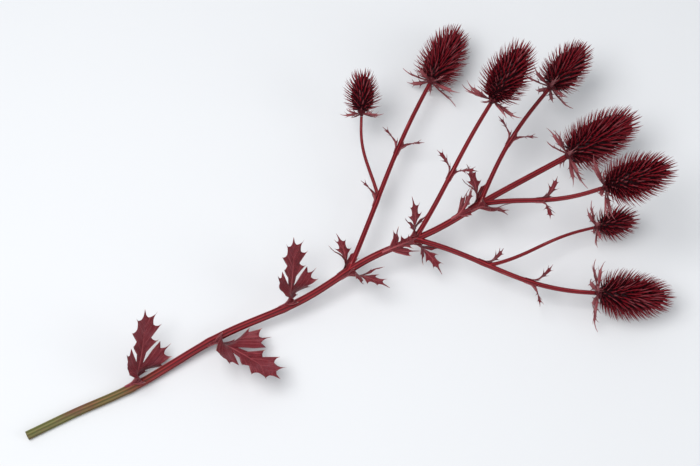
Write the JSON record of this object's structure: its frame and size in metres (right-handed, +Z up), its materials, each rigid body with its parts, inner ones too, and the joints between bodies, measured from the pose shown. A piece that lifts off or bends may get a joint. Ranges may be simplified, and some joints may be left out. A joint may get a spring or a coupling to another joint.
{
  "type": "sea holly stem",
  "caption": "Cut branching stem of dyed sea holly, lying on its side, with spiny thimble-shaped heads, bract collars and clasping toothed leaves.",
  "frame": {"origin": "middle of the outline's bounding box, on the surface that the stem lies on", "axes": "+X from the cut end towards the heads, +Z up"},
  "size_m": [0.5818, 0.3236, 0.1385],
  "materials": {
    "stems": "satin, ribbed, dyed dark red",
    "spines": "matt, dry, dyed very dark red with paler spine tips",
    "bracts": "satin, stiff, dyed dark red with paler spine tips",
    "leaves": "satin, leathery, veined, dyed dark mauve red"
  },
  "bodies": {
    "root": {"bracts_left_high": "bracts", "bracts_left_low": "bracts", "bracts_left_middle": "bracts", "bracts_left_small": "bracts", "bracts_right_high": "bracts", "bracts_right_low": "bracts", "bracts_right_small": "bracts", "bracts_top": "bracts", "head_left_high": "spines", "head_left_low": "spines", "head_left_middle": "spines", "head_left_small": "spines", "head_right_high": "spines", "head_right_low": "spines", "head_right_small": "spines", "head_top": "spines", "leaf_fork_high": "leaves", "leaf_fork_low": "leaves", "leaf_fork_middle": "leaves", "leaf_left_high_a": "leaves", "leaf_left_high_b": "leaves", "leaf_left_low_a": "leaves", "leaf_left_low_b": "leaves", "leaf_left_middle_a": "leaves", "leaf_left_middle_b": "leaves", "leaf_low": "leaves", "leaf_middle": "leaves", "leaf_right_high_a": "leaves", "leaf_right_high_b": "leaves", "leaf_right_low_a": "leaves", "leaf_right_low_b": "leaves", "leaf_under_left_high": "leaves", "leaf_under_left_low": "leaves", "leaf_under_left_middle": "leaves", "leaf_under_left_small": "leaves", "leaf_under_right_high": "leaves", "leaf_under_right_low": "leaves", "leaf_under_right_small": "leaves", "leaf_upper": "leaves", "main_stem": "stems", "side_stem_left_high": "stems", "side_stem_left_low": "stems", "side_stem_left_middle": "stems", "side_stem_left_small": "stems", "side_stem_right_high": "stems", "side_stem_right_low": "stems", "side_stem_right_small": "stems"}
  },
  "joints": []
}
